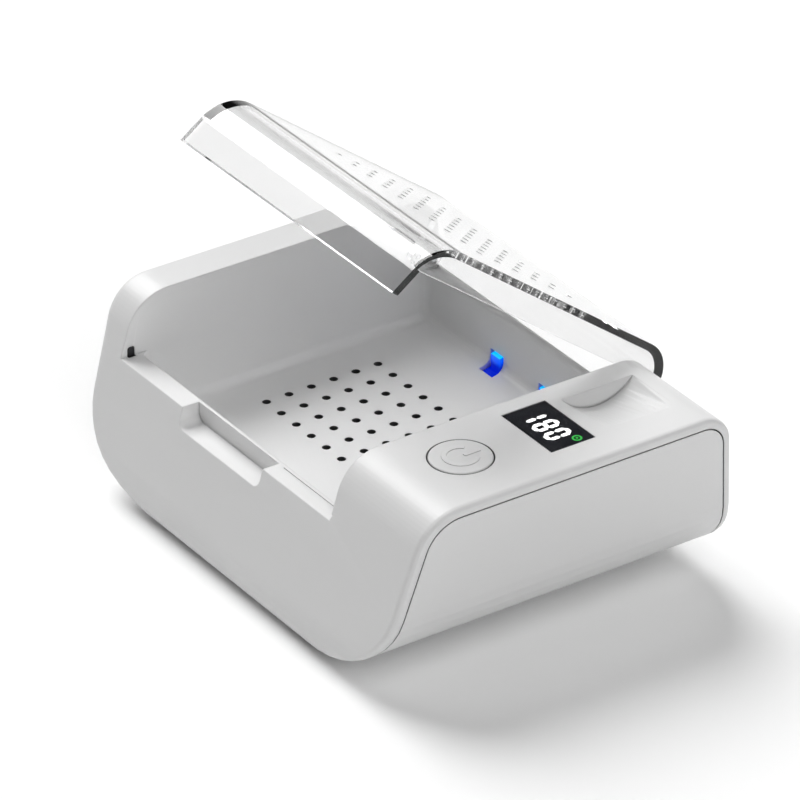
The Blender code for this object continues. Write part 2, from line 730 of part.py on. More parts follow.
def foot_points():
    left = COVER_OPEN_LEFT + FOOT_IN_X + FOOT_R
    right = COVER_OPEN_RIGHT - FOOT_IN_X - FOOT_R
    front = COVER_OPEN_FRONT + FOOT_IN_Y
    rear = COVER_OPEN_REAR - FOOT_IN_Y - FOOT_R
    return [(x, y) for x in (left, right) for y in (front, rear)]


def slotted_screw(name, head_low, head_r, head_t, shank_r, shank_long):
    """Screw pointing up, driven from below."""
    x, y, z = head_low
    screw = rod(name, head_low, head_t, head_r)
    join(screw, rod("shank", (x, y, z + head_t / 2), head_t / 2 + shank_long, shank_r))
    slot = SCREW_SLOT_W / 2
    low = (x - slot, y - head_r * 2, z - head_t)
    return cut(screw, box("drive", low, (x + slot, y + head_r * 2, z + SCREW_SLOT_D)))


def make_cover_screw(name, x, y):
    low = -HEIGHT + COVER_SINK / 4
    head = COVER_SINK - COVER_SINK / 4 - GAP / 3
    long = COVER_SCREW_LONG - COVER_SINK * 2
    return slotted_screw(name, (x, y, low), COVER_HEAD_R, head, COVER_SCREW_R, long)


def make_fan_screw(name, x, y):
    low = FAN_TOP - FAN_THICK - GAP / 2 - FAN_HEAD_T
    long = FAN_THICK + GAP * 5
    return slotted_screw(name, (x, y, low), FAN_HEAD_R, FAN_HEAD_T, FAN_SCREW_R, long)


def make_board_screw(name, x, y):
    low = BOARD_TOP - BOARD_T - GAP - BOARD_HEAD_T
    return slotted_screw(name, (x, y, low), BOARD_HEAD_R, BOARD_HEAD_T, BOARD_SCREW_R, BOARD_SCREW_LONG)


def make_foot(name, x, y):
    tall = FOOT_PROUD + FOOT_SEAT - GAP / 2
    foot = rod(name, (x, y, -HEIGHT - FOOT_PROUD), tall, FOOT_R, SMALL_ROUND + SMALL_ROUND // 2)
    return bevel(foot, FOOT_PROUD / 3, 1, math.radians(50))


def make_pin(name, start, end):
    middle = ((start + end) / 2, HINGE_Y, HINGE_Z)
    return rods(name, [middle], PIN_R, abs(end - start), "X")


def make_lid():
    lid = prism("lid_cover", PROFILE, "X", LID_LEFT, LID_RIGHT)
    inner = inset(PROFILE, LID_WALL)
    cut(lid, prism("inside", inner, "X", LID_LEFT + LID_WALL, LID_RIGHT - LID_WALL))
    low = prism("below skirts", inner, "X", -OVERSHOOT, FAR)
    keep_inside(low, box("front part", (-FAR, NEAR_Y, -HEIGHT), (FAR * 2, LID_SKIRT_REAR, LID_SKIRT_BOTTOM)))
    cut(lid, low)
    cut(lid, box("under lip", (-OVERSHOOT, NEAR_Y, -FAR), (FAR, HINGE_Y / 2, LID_LIP_BOTTOM)))
    cut(lid, box("under flange", (-OVERSHOOT, HINGE_Y / 3, -FAR), (FAR, FAR_Y, LID_REAR_BOTTOM)))
    for start in (LID_LEFT, LID_RIGHT - EAR_THICK):
        middle = (start + EAR_THICK / 2, HINGE_Y, HINGE_Z)
        join(lid, rods("ear", [middle], EAR_R, EAR_THICK, "X", ROUND))
    pins = [(LID_LEFT, HINGE_Y, HINGE_Z), (LID_RIGHT, HINGE_Y, HINGE_Z)]
    cut(lid, rods("pin holes", pins, PIN_R + GAP, (EAR_THICK + GAP) * 2, "X"))
    grid = [
        (LID_VENT_LEFT + VENT_PITCH * i, LID_VENT_FRONT + VENT_PITCH * j, -LID_WALL / 2)
        for i in range(LID_VENTS_X)
        for j in range(LID_VENTS_Y)
    ]
    cut(lid, rods("lid vents", grid, LID_VENT_R, LID_WALL * 2, "Z", LID_VENT_ROUND))
    return lid


def power_symbol(name, high):
    """Open ring with a bar standing in its opening, which faces the back."""
    opening = math.degrees(SYMBOL_OPEN)
    outer = arc((BUTTON_X, BUTTON_Y), SYMBOL_R, 90 + opening, 450 - opening, SMALL_ROUND)
    inner = arc((BUTTON_X, BUTTON_Y), SYMBOL_R - SYMBOL_W, 450 - opening, 90 + opening, SMALL_ROUND)
    ring = prism(name, outer + inner, "Z", high - SYMBOL_H, high + SYMBOL_H)
    half = SYMBOL_W / 2
    low = (BUTTON_X - half, BUTTON_Y + SYMBOL_BAR_LOW)
    bar_high = (BUTTON_X + half, BUTTON_Y + SYMBOL_BAR_HIGH)
    bar = prism("bar", rounded_rectangle(low, bar_high, half / 2), "Z", high - SYMBOL_H, high + SYMBOL_H)
    return ring, bar


def make_button():
    low = BUTTON_PROUD - BUTTON_CAP
    cap = rod("power_button", (BUTTON_X, BUTTON_Y, low), BUTTON_CAP, BUTTON_R, ROUND)
    bevel(cap, BUTTON_EDGE_R, 3, math.radians(50))
    flange = -TOP_WALL - GAP - BUTTON_FLANGE
    join(cap, rod("flange", (BUTTON_X, BUTTON_Y, flange), BUTTON_FLANGE, BUTTON_FLANGE_R, ROUND))
    foot = BOARD_TOP + GAP + SWITCH_H + SWITCH_TIP_H + BUTTON_TRAVEL + GAP
    join(cap, rod("stem", (BUTTON_X, BUTTON_Y, foot), flange - foot + BUTTON_FLANGE / 2, BUTTON_STEM_R))
    ring, bar = power_symbol("symbol", BUTTON_PROUD)
    return join(cap, ring, bar)


def make_lens():
    lens = box("display_lens", (LENS_LEFT + LENS_GAP, LENS_FRONT + LENS_GAP, -LENS_THICK),
               (LENS_RIGHT - LENS_GAP, LENS_REAR - LENS_GAP, 0))
    return bevel(lens, LENS_GAP / 2, 1, math.radians(50))


def make_module():
    low = (LENS_LEFT + MODULE_IN, LENS_FRONT + MODULE_IN, BOARD_TOP + GAP)
    high = (LENS_RIGHT - MODULE_IN, LENS_REAR - MODULE_IN, -LENS_THICK - GAP)
    return box("display_module", low, high)


def make_board():
    board = box("control_board", (BOARD_LEFT, BOARD_FRONT, BOARD_TOP - BOARD_T),
                (BOARD_RIGHT, BOARD_REAR, BOARD_TOP))
    holes = [(x, y, BOARD_TOP) for x, y in BOARD_SCREWS]
    return cut(board, rods("holes", holes, BOARD_HOLE_R, BOARD_T * 4))


def make_switch():
    half = SWITCH_W / 2
    low = BOARD_TOP + GAP
    switch = box("button_switch", (BUTTON_X - half, BUTTON_Y - half, low),
                 (BUTTON_X + half, BUTTON_Y + half, low + SWITCH_H))
    tip = low + SWITCH_H
    return join(switch, rod("tip", (BUTTON_X, BUTTON_Y, tip - GAP), SWITCH_TIP_H + GAP, SWITCH_TIP_R))


def make_chip():
    half = CHIP_W / 2
    high = BOARD_TOP - BOARD_T - GAP
    low = (BUTTON_X - half, CHIP_Y - half, high - CHIP_T)
    return box("processor_chip", low, (BUTTON_X + half, CHIP_Y + half, high))


def make_board_piece(name, number):
    high = BOARD_TOP - BOARD_T - GAP
    left = BUTTON_X - PARTS_SIDE + PARTS_PITCH * number - PARTS_W / 2
    return box(name, (left, PARTS_Y, high - PARTS_T), (left + PARTS_W, PARTS_Y + PARTS_L, high))


def make_socket():
    end = socket_end()
    start = end - SOCKET_L
    socket = prism("power_socket", socket_outline(0), "Y", start, end)
    inner = inset(socket_outline(0), SOCKET_WALL)
    cut(socket, prism("mouth", inner, "Y", start + SOCKET_WALL * 3, end + GAP))
    half = SOCKET_W * SOCKET_TONGUE_SHARE / 2
    middle = BOARD_TOP - BOARD_T - GAP - SOCKET_H / 2
    tongue = box("tongue", (BUTTON_X - half, start + SOCKET_WALL, middle - SOCKET_TONGUE_H / 2),
                 (BUTTON_X + half, end - SOCKET_WALL * 3, middle + SOCKET_TONGUE_H / 2))
    return join(socket, tongue)


def socket_end():
    """Just inside the rear face at the socket's height."""
    return TOP_REAR + REAR_TOP_R - WALL / 4


def slot_lean(y):
    """How far right of its place at the rear wall a light slot lies at this depth."""
    return SLOT_SLANT * (CHAMBER_REAR - y) / (CHAMBER_REAR - SLOT_FRONT)


def slot_outline(left, front, side, left_side):
    """Plan of a light slot from its front end to its rear end, drawn in at the sides and the rear."""
    rear = SLOT_DEEP_Y - side
    near, far = left + slot_lean(front), left + slot_lean(rear)
    return [
        (near + left_side, front),
        (near + SLOT_W - side, front),
        (far + SLOT_W - side, rear),
        (far + left_side, rear),
    ]


def make_guide(name, left):
    """Light guide in a rear slot: an upright that stands out of the rear wall, and a foot in the floor."""
    low = TUB_UNDER - GAP / 2
    guide = prism(name, slot_outline(left, SLOT_FRONT + GAP, GAP, GAP), "Z", low, CHAMBER_FLOOR - GUIDE_FOOT)
    upright = slot_outline(left, GUIDE_FRONT, GAP, GUIDE_LEFT)
    return join(guide, prism("upright", upright, "Z", low, SLOT_TOP - GAP))


def make_lamp_board():
    high = TUB_UNDER - GAP - LAMP_T - GAP * 2
    return box("lamp_board", (LAMP_BOARD_LEFT, LAMP_BOARD_FRONT, high - LAMP_BOARD_T),
               (LAMP_BOARD_RIGHT, LAMP_BOARD_REAR, high))


def make_lamp(name, left):
    low = TUB_UNDER - GAP - LAMP_T - GAP
    start = left + (SLOT_W - LAMP_W) / 2
    front = (LAMP_BOARD_FRONT + LAMP_BOARD_REAR - LAMP_W) / 2
    return box(name, (start, front, low), (start + LAMP_W, front + LAMP_W, low + LAMP_T))


def make_heater():
    high = TUB_UNDER - GAP
    half_w, half_l = HEATER_W / 2, HEATER_L / 2
    plate = box("heater_plate", (FAN_X - half_w, FAN_Y - half_l, high - HEATER_T),
                (FAN_X + half_w, FAN_Y + half_l, high))
    for i in range(HEATER_SLOTS):
        x = FAN_X + HEATER_W * ((i + 0.5) / HEATER_SLOTS - 0.5)
        low = (x - HEATER_SLOT_W / 2, FAN_Y - HEATER_SLOT_L / 2)
        top = (x + HEATER_SLOT_W / 2, FAN_Y + HEATER_SLOT_L / 2)
        outline = rounded_rectangle(low, top, HEATER_SLOT_W / 2.1)
        cut(plate, prism("slot", outline, "Z", high - HEATER_T * 2, high + HEATER_T))
    return plate


def make_fan_frame():
    half = FAN_SIZE / 2
    low = FAN_TOP - FAN_THICK
    outline = rounded_rectangle((FAN_X - half, FAN_Y - half), (FAN_X + half, FAN_Y + half), FAN_STRUT_W)
    frame = prism("fan_frame", outline, "Z", low, FAN_TOP)
    cut(frame, rod("bore", (FAN_X, FAN_Y, low - GAP), FAN_THICK + GAP * 2, FAN_BORE_R, ROUND))
    join(frame, rod("motor base", (FAN_X, FAN_Y, low), FAN_BASE, FAN_BASE_R, ROUND))
    strut = FAN_STRUT_W / 2
    reach = half - strut
    top = low + FAN_BASE
    join(frame, box("strut", (FAN_X - reach, FAN_Y - strut, low), (FAN_X + reach, FAN_Y + strut, top)))
    join(frame, box("strut", (FAN_X - strut, FAN_Y - reach, low), (FAN_X + strut, FAN_Y + reach, top)))
    spindle = FAN_THICK / 2
    join(frame, rod("spindle", (FAN_X, FAN_Y, low), spindle, SPINDLE_R))
    holes = [(x, y, low + FAN_THICK / 2) for x, y in fan_corners()]
    return cut(frame, rods("screw holes", holes, FAN_HOLE_R, FAN_THICK * 2))


def make_fan_rotor():
    low = FAN_TOP - FAN_THICK + FAN_BASE + GAP
    high = FAN_TOP - GAP
    rotor = rod("fan_rotor", (FAN_X, FAN_Y, low), high - low, ROTOR_HUB_R, ROUND)
    bevel(rotor, BUTTON_EDGE_R, 2, math.radians(50))
    for i in range(ROTOR_BLADES):
        blade = box("blade", (ROTOR_HUB_R - ROTOR_BITE, -ROTOR_BLADE_H / 2, -ROTOR_BLADE_T / 2),
                    (ROTOR_TIP_R, ROTOR_BLADE_H / 2, ROTOR_BLADE_T / 2))
        turn = Matrix.Rotation(math.tau * i / ROTOR_BLADES, 4, "Z") @ Matrix.Rotation(ROTOR_PITCH, 4, "X")
        blade.data.transform(Matrix.Translation((FAN_X, FAN_Y, (low + high) / 2)) @ turn)
        join(rotor, blade)
    hole = FAN_THICK / 2 - FAN_BASE
    return cut(rotor, rod("spindle hole", (FAN_X, FAN_Y, low - GAP), hole + GAP, SPINDLE_R + GAP))


def finish(obj, surface, origin=(0, 0, 0), sharp=40):
    """Gives the object its material, its own origin and smooth shading with sharp edges kept."""
    obj.data.transform(Matrix.Translation(-Vector(origin)))
    obj.location = origin
    obj.data.name = obj.name
    obj.data.materials.clear()
    obj.data.materials.append(surface)
    for face in obj.data.polygons:
        face.material_index = 0
    obj.data.shade_smooth()
    obj.data.set_sharp_from_angle(angle=math.radians(sharp))
    obj.parent = frame
    return obj


frame = bpy.data.objects.new("working_frame", None)
parts.objects.link(frame)
frame.location = (-LENGTH / 2, -(FRONT_MOST + LID_REAR) / 2, HEIGHT + FOOT_PROUD)

white = material("white_plastic", (0.80, 0.80, 0.79), 0.45)
inner_white = material("white_plastic_inner", (0.72, 0.72, 0.71), 0.5)
clear = material("clear_plastic", (0.95, 0.96, 0.96), 0.05, 0.0, 1.0)
dark_glass = material("dark_lens", (0.02, 0.02, 0.03), 0.1)
black = material("black_plastic", (0.03, 0.03, 0.03), 0.5)
green_board = material("board_green", (0.02, 0.18, 0.08), 0.5)
chip_black = material("chip_black", (0.02, 0.02, 0.02), 0.4)
ceramic = material("part_ceramic", (0.45, 0.36, 0.25), 0.5)
steel = material("steel", (0.55, 0.56, 0.58), 0.3, 1.0)
rubber = material("rubber_grey", (0.10, 0.10, 0.10), 0.8)
blue_light = material("blue_guide", (0.02, 0.20, 0.95), 0.2)
lamp_blue = material("lamp_blue", (0.10, 0.30, 0.90), 0.3)
heater_tan = material("heater_tan", (0.35, 0.22, 0.10), 0.6)

finish(make_upper_housing(), white)
finish(make_side_panel(), white)
finish(make_base_cover(), inner_white)
for number, (screw_x, screw_y) in enumerate(COVER_SCREWS, 1):
    finish(make_cover_screw("cover_screw_%d" % number, screw_x, screw_y), steel, (screw_x, screw_y, -HEIGHT))
for number, (foot_x, foot_y) in enumerate(foot_points(), 1):
    finish(make_foot("foot_%d" % number, foot_x, foot_y), rubber, (foot_x, foot_y, -HEIGHT))
finish(make_pin("hinge_pin_left", CHAMBER_LEFT - PIN_IN_WALL, LID_LEFT + EAR_THICK), steel,
       (LID_LEFT, HINGE_Y, HINGE_Z))
finish(make_pin("hinge_pin_right", LID_RIGHT - EAR_THICK, CHAMBER_RIGHT + PIN_IN_WALL), steel,
       (LID_RIGHT, HINGE_Y, HINGE_Z))
finish(make_button(), white, (BUTTON_X, BUTTON_Y, 0))
finish(make_lens(), dark_glass)
finish(make_module(), black)
finish(make_board(), green_board)
for number, (screw_x, screw_y) in enumerate(BOARD_SCREWS, 1):
    board_screw = make_board_screw("board_screw_%d" % number, screw_x, screw_y)
    finish(board_screw, steel, (screw_x, screw_y, BOARD_TOP))
finish(make_switch(), black)
finish(make_chip(), chip_black)
for number in range(PARTS_ROW):
    finish(make_board_piece("board_capacitor_%d" % (number + 1), number), ceramic)
finish(make_socket(), steel)
finish(make_guide("light_guide_left", SLOT_LEFTS[0]), blue_light)
finish(make_guide("light_guide_right", SLOT_LEFTS[1]), blue_light)
finish(make_lamp_board(), green_board)
finish(make_lamp("uv_lamp_left", SLOT_LEFTS[0]), lamp_blue)
finish(make_lamp("uv_lamp_right", SLOT_LEFTS[1]), lamp_blue)
finish(make_heater(), heater_tan)
finish(make_fan_frame(), black)
for number, (screw_x, screw_y) in enumerate((fan_corners()[0], fan_corners()[3]), 1):
    finish(make_fan_screw("fan_screw_%d" % number, screw_x, screw_y), steel, (screw_x, screw_y, FAN_TOP))
finish(make_fan_rotor(), black, (FAN_X, FAN_Y, FAN_TOP - FAN_THICK))
lid = finish(make_lid(), clear, (0, HINGE_Y, HINGE_Z), 25)
lid.rotation_euler = (-LID_OPEN, 0, 0)
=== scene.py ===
"""Drying box for hearing aids: materials, lid, lit parts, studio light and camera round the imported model."""

import math

import bmesh
import bpy
from mathutils import Matrix, Vector


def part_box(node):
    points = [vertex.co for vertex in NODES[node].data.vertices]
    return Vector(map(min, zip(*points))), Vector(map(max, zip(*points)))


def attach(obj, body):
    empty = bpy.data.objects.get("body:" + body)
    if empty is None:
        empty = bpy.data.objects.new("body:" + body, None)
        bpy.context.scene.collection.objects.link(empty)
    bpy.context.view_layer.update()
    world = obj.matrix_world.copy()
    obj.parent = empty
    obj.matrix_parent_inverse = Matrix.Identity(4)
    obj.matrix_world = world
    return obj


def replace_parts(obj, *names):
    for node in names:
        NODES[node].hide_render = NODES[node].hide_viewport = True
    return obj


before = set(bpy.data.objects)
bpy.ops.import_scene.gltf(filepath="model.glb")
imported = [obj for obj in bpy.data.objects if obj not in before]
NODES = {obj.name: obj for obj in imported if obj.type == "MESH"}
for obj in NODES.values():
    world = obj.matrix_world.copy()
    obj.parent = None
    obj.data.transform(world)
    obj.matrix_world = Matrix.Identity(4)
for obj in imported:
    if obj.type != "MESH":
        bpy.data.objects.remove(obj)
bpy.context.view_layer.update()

MM = 0.001


# Camera

AZIMUTH = math.radians(55.717)
ELEVATION = math.radians(30.401)
DISTANCE = 1.5471
AIM = Vector((-0.01752, 0.01047, 0.02005))
LENS = 314.06


def place_camera():
    data = bpy.data.cameras.new("photo_camera")
    camera = bpy.data.objects.new("photo_camera", data)
    bpy.context.scene.collection.objects.link(camera)
    back = Vector((
        math.sin(AZIMUTH) * math.cos(ELEVATION),
        -math.cos(AZIMUTH) * math.cos(ELEVATION),
        math.sin(ELEVATION),
    ))
    right = Vector((math.cos(AZIMUTH), math.sin(AZIMUTH), 0))
    up = back.cross(right)
    turn = Matrix((right, up, back)).transposed().to_4x4()
    camera.matrix_world = Matrix.Translation(AIM + back * DISTANCE) @ turn
    data.sensor_width = 36
    data.lens = LENS
    data.clip_start = 0.05
    data.clip_end = 20
    bpy.context.scene.camera = camera


# Shader groups

def new_group(name, inputs, outputs):
    group = bpy.data.node_groups.new(name, "ShaderNodeTree")
    for label, kind, value in inputs:
        socket = group.interface.new_socket(label, in_out="INPUT", socket_type=kind)
        socket.default_value = value
    for label, kind in outputs:
        group.interface.new_socket(label, in_out="OUTPUT", socket_type=kind)
    entry = group.nodes.new("NodeGroupInput")
    leave = group.nodes.new("NodeGroupOutput")
    return group, entry, leave


def math_node(tree, operation, first, second=None, clamp=False):
    node = tree.nodes.new("ShaderNodeMath")
    node.operation = operation
    node.use_clamp = clamp
    for socket, value in zip(node.inputs, (first, second)):
        if value is None:
            continue
        if isinstance(value, (int, float)):
            socket.default_value = value
        else:
            tree.links.new(value, socket)
    return node.outputs[0]


def noise_node(tree, scale, detail=2.0, roughness=0.5):
    """Object-space noise; scale may be a socket."""
    coords = tree.nodes.new("ShaderNodeTexCoord")
    node = tree.nodes.new("ShaderNodeTexNoise")
    tree.links.new(coords.outputs["Object"], node.inputs["Vector"])
    if isinstance(scale, (int, float)):
        node.inputs["Scale"].default_value = scale
    else:
        tree.links.new(scale, node.inputs["Scale"])
    node.inputs["Detail"].default_value = detail
    node.inputs["Roughness"].default_value = roughness
    return node.outputs["Fac"]


def mix_color(tree, factor, first, second):
    node = tree.nodes.new("ShaderNodeMix")
    node.data_type = "RGBA"
    for place, value in ((0, factor), (6, first), (7, second)):
        socket = node.inputs[place]
        if isinstance(value, (int, float, tuple)):
            socket.default_value = value
        else:
            tree.links.new(value, socket)
    return node.outputs[2]


def make_moulding_group():
    """Fine spark-eroded grain, slow random tone drift, handled edges a little glossier and lifted lighter by a
    painted highlight, and painted shade in gaps and corners of moulded plastic.
    """
    group, entry, leave = new_group(
        "moulded_surface",
        [
            ("Color", "NodeSocketColor", (0.8, 0.8, 0.8, 1)),
            ("Drift", "NodeSocketFloat", 0.03),
            ("Grain Scale", "NodeSocketFloat", 2600.0),
            ("Gloss", "NodeSocketFloat", 0.45),
            ("Gloss Drift", "NodeSocketFloat", 0.08),
            ("Edge Shine", "NodeSocketFloat", 0.06),
            ("Gap Reach", "NodeSocketFloat", 0.0015),
            ("Gap Shade", "NodeSocketFloat", 0.8),
        ],
        [("Color", "NodeSocketColor"), ("Roughness", "NodeSocketFloat"), ("Height", "NodeSocketFloat")],
    )
    slow = noise_node(group, 38.0, 3.0)
    fine = noise_node(group, entry.outputs["Grain Scale"], 3.0, 0.6)
    drift = math_node(group, "MULTIPLY", math_node(group, "SUBTRACT", slow, 0.5), entry.outputs["Drift"])
    # Painted highlight: convex edges, found by pointiness, are lifted lighter in colour; the same mask makes them
    # a little glossier.
    geometry = group.nodes.new("ShaderNodeNewGeometry")
    pointed = math_node(group, "SUBTRACT", geometry.outputs["Pointiness"], 0.5)
    edge = math_node(group, "MULTIPLY", pointed, 6.0, True)
    lift = math_node(group, "ADD", math_node(group, "MULTIPLY", edge, entry.outputs["Edge Shine"]), drift)
    # Painted shade: ambient occlusion within Gap Reach darkens the colour in gaps, corners and recesses, by Gap
    # Shade.
    near = group.nodes.new("ShaderNodeAmbientOcclusion")
    near.samples = 8
    group.links.new(entry.outputs["Gap Reach"], near.inputs["Distance"])
    hidden = group.nodes.new("ShaderNodeMapRange")
    hidden.inputs["From Min"].default_value = 0.60
    hidden.inputs["From Max"].default_value = 0.30
    group.links.new(near.outputs["AO"], hidden.inputs["Value"])
    shade = math_node(group, "MULTIPLY", hidden.outputs["Result"], entry.outputs["Gap Shade"])
    lift = math_node(group, "SUBTRACT", math_node(group, "ADD", lift, 1.0), shade)
    brighten = group.nodes.new("ShaderNodeHueSaturation")
    group.links.new(entry.outputs["Color"], brighten.inputs["Color"])
    group.links.new(lift, brighten.inputs["Value"])
    group.links.new(brighten.outputs["Color"], leave.inputs["Color"])
    spread = math_node(group, "MULTIPLY", math_node(group, "SUBTRACT", fine, 0.5), entry.outputs["Gloss Drift"])
    gloss = math_node(group, "SUBTRACT", entry.outputs["Gloss"], math_node(group, "MULTIPLY", edge, 0.12))
    group.links.new(math_node(group, "ADD", gloss, spread, True), leave.inputs["Roughness"])
    group.links.new(fine, leave.inputs["Height"])
    return group


def make_metal_group():
    """Turned or drawn metal: streaks along one axis and a little tarnish."""
    group, entry, leave = new_group(
        "drawn_metal",
        [
            ("Color", "NodeSocketColor", (0.6, 0.6, 0.6, 1)),
            ("Streak", "NodeSocketFloat", 0.12),
            ("Gloss", "NodeSocketFloat", 0.3),
        ],
        [("Color", "NodeSocketColor"), ("Roughness", "NodeSocketFloat"), ("Height", "NodeSocketFloat")],
    )
    coords = group.nodes.new("ShaderNodeTexCoord")
    stretch = group.nodes.new("ShaderNodeMapping")
    stretch.inputs["Scale"].default_value = (6000, 6000, 300)
    group.links.new(coords.outputs["Object"], stretch.inputs["Vector"])
    streaks = group.nodes.new("ShaderNodeTexNoise")
    streaks.inputs["Scale"].default_value = 1.0
    group.links.new(stretch.outputs["Vector"], streaks.inputs["Vector"])
    level = math_node(group, "SUBTRACT", streaks.outputs["Fac"], 0.5)
    amount = math_node(group, "MULTIPLY", level, entry.outputs["Streak"])
    shade = group.nodes.new("ShaderNodeHueSaturation")
    group.links.new(entry.outputs["Color"], shade.inputs["Color"])
    group.links.new(math_node(group, "ADD", amount, 1.0), shade.inputs["Value"])
    group.links.new(shade.outputs["Color"], leave.inputs["Color"])
    group.links.new(math_node(group, "ADD", entry.outputs["Gloss"], amount, True), leave.inputs["Roughness"])
    group.links.new(streaks.outputs["Fac"], leave.inputs["Height"])
    return group


MOULDED = make_moulding_group()
METAL = make_metal_group()


def new_material(name):
    made = bpy.data.materials.new(name)
    made.use_nodes = True
    return made, made.node_tree, made.node_tree.nodes["Principled BSDF"]


def place_group(tree, group, **values):
    node = tree.nodes.new("ShaderNodeGroup")
    node.node_tree = group
    for label, value in values.items():
        node.inputs[label.replace("_", " ")].default_value = value
    return node


def add_bump(tree, shader, height, depth, strength=1.0, corner=0.0):
    """Bump on the shader; a corner radius softens the solid's edges and facets in the same normal."""
    bump = tree.nodes.new("ShaderNodeBump")
    bump.inputs["Distance"].default_value = depth
    bump.inputs["Strength"].default_value = strength
    tree.links.new(height, bump.inputs["Height"])
    if corner:
        round_edge = tree.nodes.new("ShaderNodeBevel")
        round_edge.samples = 6
        round_edge.inputs["Radius"].default_value = corner
        tree.links.new(round_edge.outputs["Normal"], bump.inputs["Normal"])
    tree.links.new(bump.outputs["Normal"], shader.inputs["Normal"])


def moulded(name, color, gloss=0.45, grain=2600.0, depth=0.00001, strength=0.25, drift=0.03, edge_highlight=0.04,
            corner=0.0):
    made, tree, shader = new_material(name)
    look = place_group(tree, MOULDED, Color=(*color, 1), Drift=drift, Grain_Scale=grain, Gloss=gloss,
                       Edge_Shine=edge_highlight)
    tree.links.new(look.outputs["Color"], shader.inputs["Base Color"])
    tree.links.new(look.outputs["Roughness"], shader.inputs["Roughness"])
    add_bump(tree, shader, look.outputs["Height"], depth, strength, corner)
    return made


def metal(name, color, gloss=0.3):
    made, tree, shader = new_material(name)
    look = place_group(tree, METAL, Color=(*color, 1), Gloss=gloss)
    tree.links.new(look.outputs["Color"], shader.inputs["Base Color"])
    tree.links.new(look.outputs["Roughness"], shader.inputs["Roughness"])
    shader.inputs["Metallic"].default_value = 1.0
    add_bump(tree, shader, look.outputs["Height"], 0.000005, 0.4)
    return made


def lit(name, color, strength):
    made, tree, shader = new_material(name)
    shader.inputs["Base Color"].default_value = (*color, 1)
    grain = noise_node(tree, 900.0)
    glow = mix_color(tree, grain, (*color, 1), (*[c * 0.92 for c in color], 1))
    tree.links.new(glow, shader.inputs["Emission Color"])
    shader.inputs["Emission Strength"].default_value = strength
    shader.inputs["Roughness"].default_value = 0.3
    return made


def clear_plastic(name, tint, shade, roughness=0.02):
    """Clear moulding; the lamps' rays pass through it, so what it covers stays lit."""
    made, tree, shader = new_material(name)
    shader.inputs["Base Color"].default_value = (*tint, 1)
    shader.inputs["Transmission Weight"].default_value = 1.0
    shader.inputs["IOR"].default_value = 1.49
    haze = noise_node(tree, 60.0, 2.0)
    low = math_node(tree, "MULTIPLY", haze, roughness)
    tree.links.new(low, shader.inputs["Roughness"])
    through = tree.nodes.new("ShaderNodeBsdfTransparent")
    through.inputs["Color"].default_value = (shade, shade, shade, 1)
    path = tree.nodes.new("ShaderNodeLightPath")
    both = tree.nodes.new("ShaderNodeMixShader")
    tree.links.new(path.outputs["Is Shadow Ray"], both.inputs[0])
    tree.links.new(shader.outputs["BSDF"], both.inputs[1])
    tree.links.new(through.outputs["BSDF"], both.inputs[2])
    tree.links.new(both.outputs["Shader"], tree.nodes["Material Output"].inputs["Surface"])
    return made


def glowing_guide(name):
    """Lit guide: glows with the lamps' light; on top of that, painted light makes it bright and towards cyan on
    its upper faces, and painted shade makes it deep blue low down.
    """
    made, tree, shader = new_material(name)
    coords = tree.nodes.new("ShaderNodeTexCoord")
    facing = tree.nodes.new("ShaderNodeSeparateXYZ")
    tree.links.new(coords.outputs["Normal"], facing.inputs[0])
    place = tree.nodes.new("ShaderNodeSeparateXYZ")
    tree.links.new(coords.outputs["Object"], place.inputs[0])
    height = tree.nodes.new("ShaderNodeMapRange")
    height.inputs["From Min"].default_value = GUIDE_LOW
    height.inputs["From Max"].default_value = GUIDE_HIGH
    tree.links.new(place.outputs["Z"], height.inputs["Value"])
    body = mix_color(tree, height.outputs["Result"], (0.0, 0.004, 0.36, 1), (0.0, 0.12, 1.0, 1))
    # Painted light: faces turned up, and higher on the guide, glow brighter and cyan.
    rising = math_node(tree, "MAXIMUM", facing.outputs["Z"], 0.0)
    upper = math_node(tree, "MULTIPLY", rising, height.outputs["Result"])
    tree.links.new(mix_color(tree, upper, body, (0.0, 0.48, 1.0, 1)), shader.inputs["Emission Color"])
    shader.inputs["Base Color"].default_value = (0.0, 0.03, 0.25, 1)
    shader.inputs["Emission Strength"].default_value = 1.15
    shader.inputs["Roughness"].default_value = 0.25
    return made


def board_mask(name, color):
    """Solder mask with a ground of faint tracks."""
    made, tree, shader = new_material(name)
    coords = tree.nodes.new("ShaderNodeTexCoord")
    tracks = tree.nodes.new("ShaderNodeTexBrick")
    tracks.inputs["Scale"].default_value = 260.0
    tracks.inputs["Mortar Size"].default_value = 0.05
    tracks.inputs["Color1"].default_value = (*color, 1)
    tracks.inputs["Color2"].default_value = (*[c * 0.9 for c in color], 1)
    tracks.inputs["Mortar"].default_value = (*[c * 1.7 + 0.01 for c in color], 1)
    tree.links.new(coords.outputs["Object"], tracks.inputs["Vector"])
    tree.links.new(tracks.outputs["Color"], shader.inputs["Base Color"])
    shader.inputs["Roughness"].default_value = 0.35
    add_bump(tree, shader, tracks.outputs["Fac"], 0.00002, 0.5)
    return made


# Heights over which the guide's glow is painted from deep blue up to bright blue.
GUIDE_LOW = 15.9 * MM
GUIDE_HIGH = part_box("light_guide_left")[1].z

# Box round the chamber floor's holes, from the plate below to just under the floor's face, where the hole walls
# get painted shade
VENT_SHADE_FIELD = ((-42.0 * MM, -11.5 * MM, 12.5 * MM), (-9.0 * MM, 21.5 * MM, 15.05 * MM))

